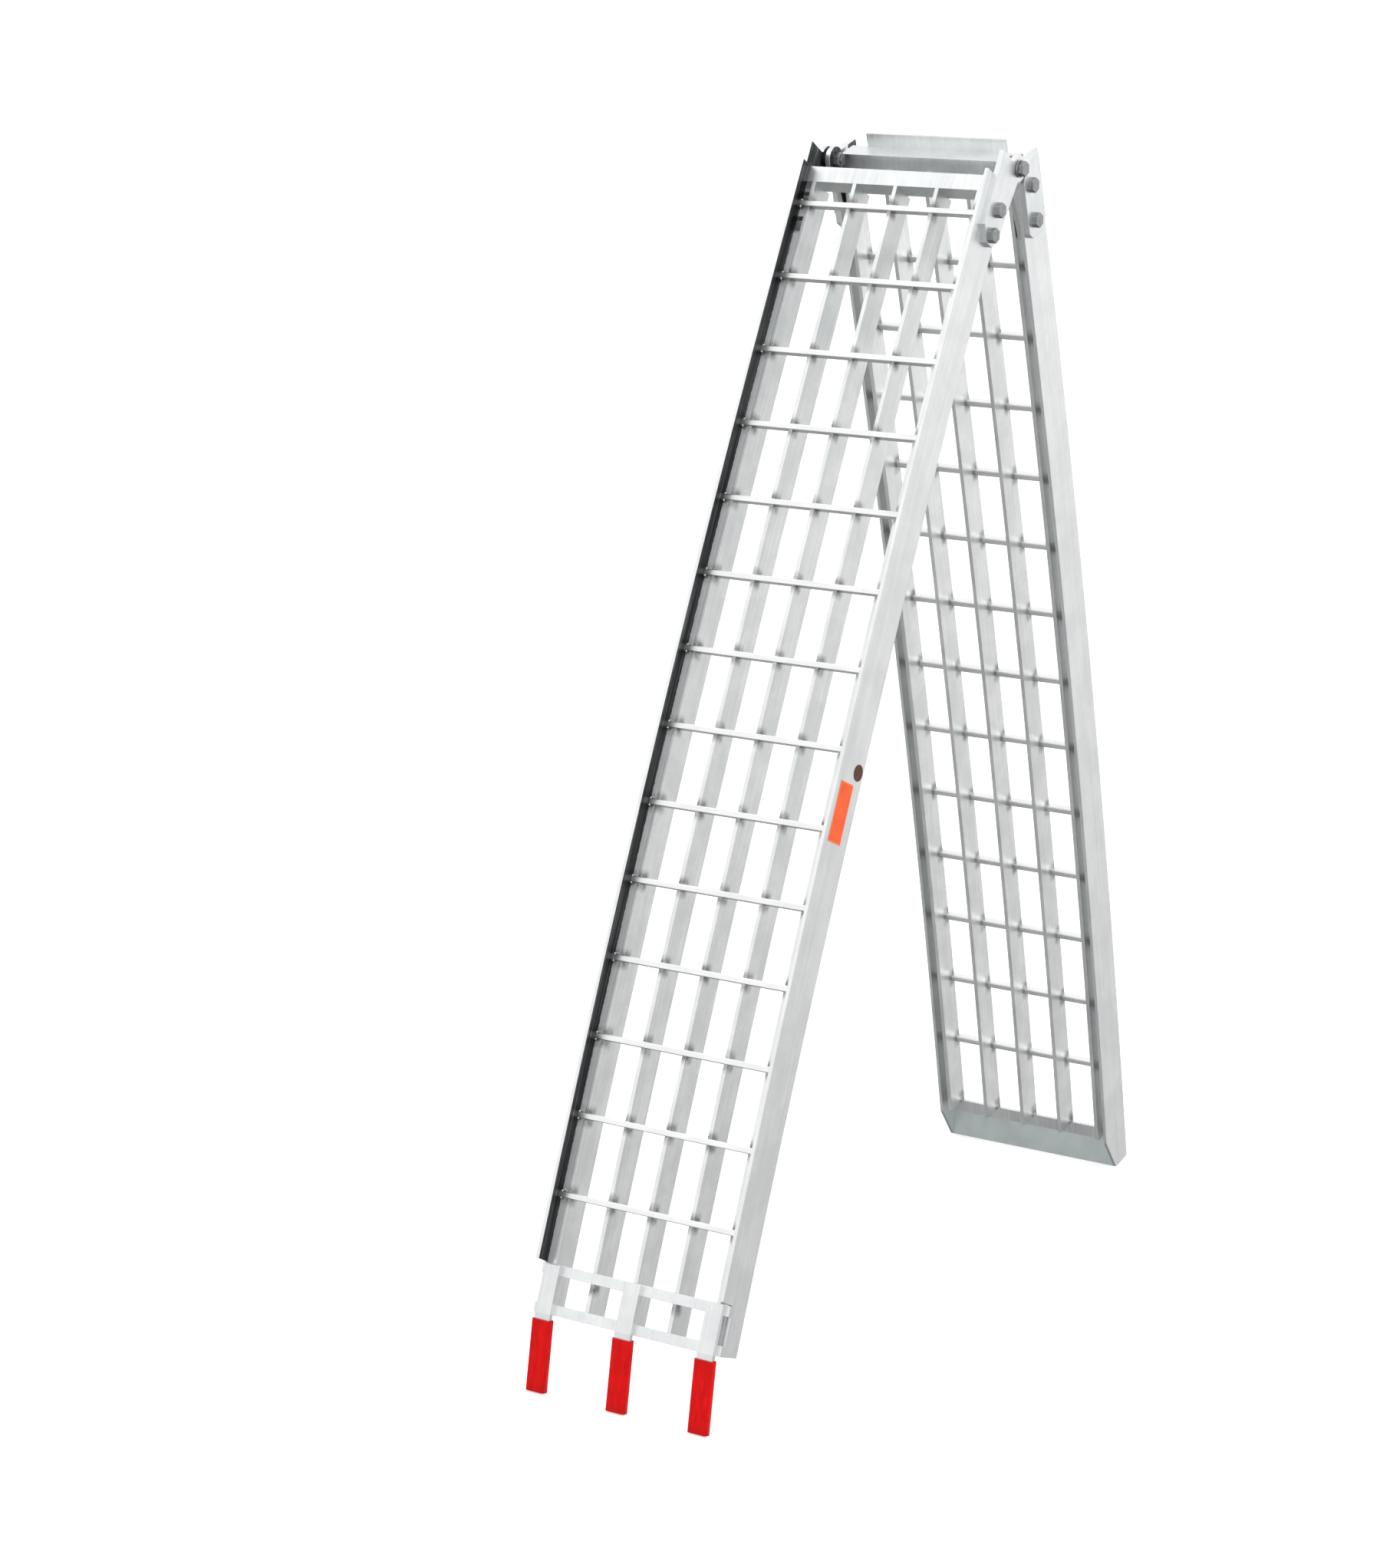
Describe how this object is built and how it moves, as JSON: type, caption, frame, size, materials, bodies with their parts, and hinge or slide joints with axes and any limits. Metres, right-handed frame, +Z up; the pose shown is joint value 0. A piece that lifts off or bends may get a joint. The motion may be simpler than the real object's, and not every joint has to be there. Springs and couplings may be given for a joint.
{
  "type": "folding loading ramp",
  "caption": "Arched folding loading ramp with an open rung deck, raised side rails, a centre hinge and rubber-sleeved attaching fingers, standing folded as an inverted V.",
  "frame": {"origin": "centre of the footprint's bounding box, on the floor, with the ramp standing folded as an inverted V", "axes": "+X across the ramp, to the right when seen from the finger end; +Y from the finger end towards the ground end; +Z up"},
  "size_m": [0.2314, 0.8762, 1.1349],
  "materials": {
    "rail_aluminium": "mill finish, lightly brushed along the rail",
    "rung_aluminium": "mill finish extrusion",
    "bar_aluminium": "mill finish extrusion",
    "plate_aluminium": "mill finish plate",
    "finger_aluminium": "mill finish flat bar",
    "zinc_steel": "dull zinc plated steel",
    "sleeve_rubber": "soft red rubber",
    "label_film": "blank orange vinyl label with a plain dark round spot"
  },
  "bodies": {
    "lower_half": {"bridge_plate": "plate_aluminium", "ground_plate": "plate_aluminium", "left_stop_plate": "plate_aluminium", "lower_deck_bars": "bar_aluminium", "lower_hinge_bolts": "zinc_steel", "lower_hinge_end_tube": "plate_aluminium", "lower_left_hinge_plate": "plate_aluminium", "lower_left_rail": "rail_aluminium", "lower_right_hinge_plate": "plate_aluminium", "lower_right_rail": "rail_aluminium", "lower_rung_01": "rung_aluminium", "lower_rung_02": "rung_aluminium", "lower_rung_03": "rung_aluminium", "lower_rung_04": "rung_aluminium", "lower_rung_05": "rung_aluminium", "lower_rung_06": "rung_aluminium", "lower_rung_07": "rung_aluminium", "lower_rung_08": "rung_aluminium", "lower_rung_09": "rung_aluminium", "lower_rung_10": "rung_aluminium", "lower_rung_11": "rung_aluminium", "lower_rung_12": "rung_aluminium", "lower_rung_13": "rung_aluminium", "lower_rung_14": "rung_aluminium", "pivot_bolts": "zinc_steel", "pivot_nuts": "zinc_steel", "pivot_spacers": "zinc_steel", "pivot_washers": "zinc_steel", "right_stop_plate": "plate_aluminium"},
    "upper_half": {"finger_cross_bar_inner": "plate_aluminium", "finger_cross_bar_outer": "plate_aluminium", "finger_left": "finger_aluminium", "finger_middle": "finger_aluminium", "finger_right": "finger_aluminium", "label": "label_film", "sleeve_left": "sleeve_rubber", "sleeve_middle": "sleeve_rubber", "sleeve_right": "sleeve_rubber", "upper_deck_bars": "bar_aluminium", "upper_hinge_bolts": "zinc_steel", "upper_hinge_end_tube": "plate_aluminium", "upper_hinge_nuts": "zinc_steel", "upper_left_hinge_plate": "plate_aluminium", "upper_left_rail": "rail_aluminium", "upper_right_hinge_plate": "plate_aluminium", "upper_right_rail": "rail_aluminium", "upper_rung_01": "rung_aluminium", "upper_rung_02": "rung_aluminium", "upper_rung_03": "rung_aluminium", "upper_rung_04": "rung_aluminium", "upper_rung_05": "rung_aluminium", "upper_rung_06": "rung_aluminium", "upper_rung_07": "rung_aluminium", "upper_rung_08": "rung_aluminium", "upper_rung_09": "rung_aluminium", "upper_rung_10": "rung_aluminium", "upper_rung_11": "rung_aluminium", "upper_rung_12": "rung_aluminium", "upper_rung_13": "rung_aluminium", "upper_rung_14": "rung_aluminium"}
  },
  "joints": [
    {"name": "fold_hinge", "type": "hinge", "parent": "lower_half", "child": "upper_half", "pos_m": [0, 0.1165, 1.10975], "axis": [-1, 0, 0], "range_deg": [-39.8, 127.2]}
  ]
}
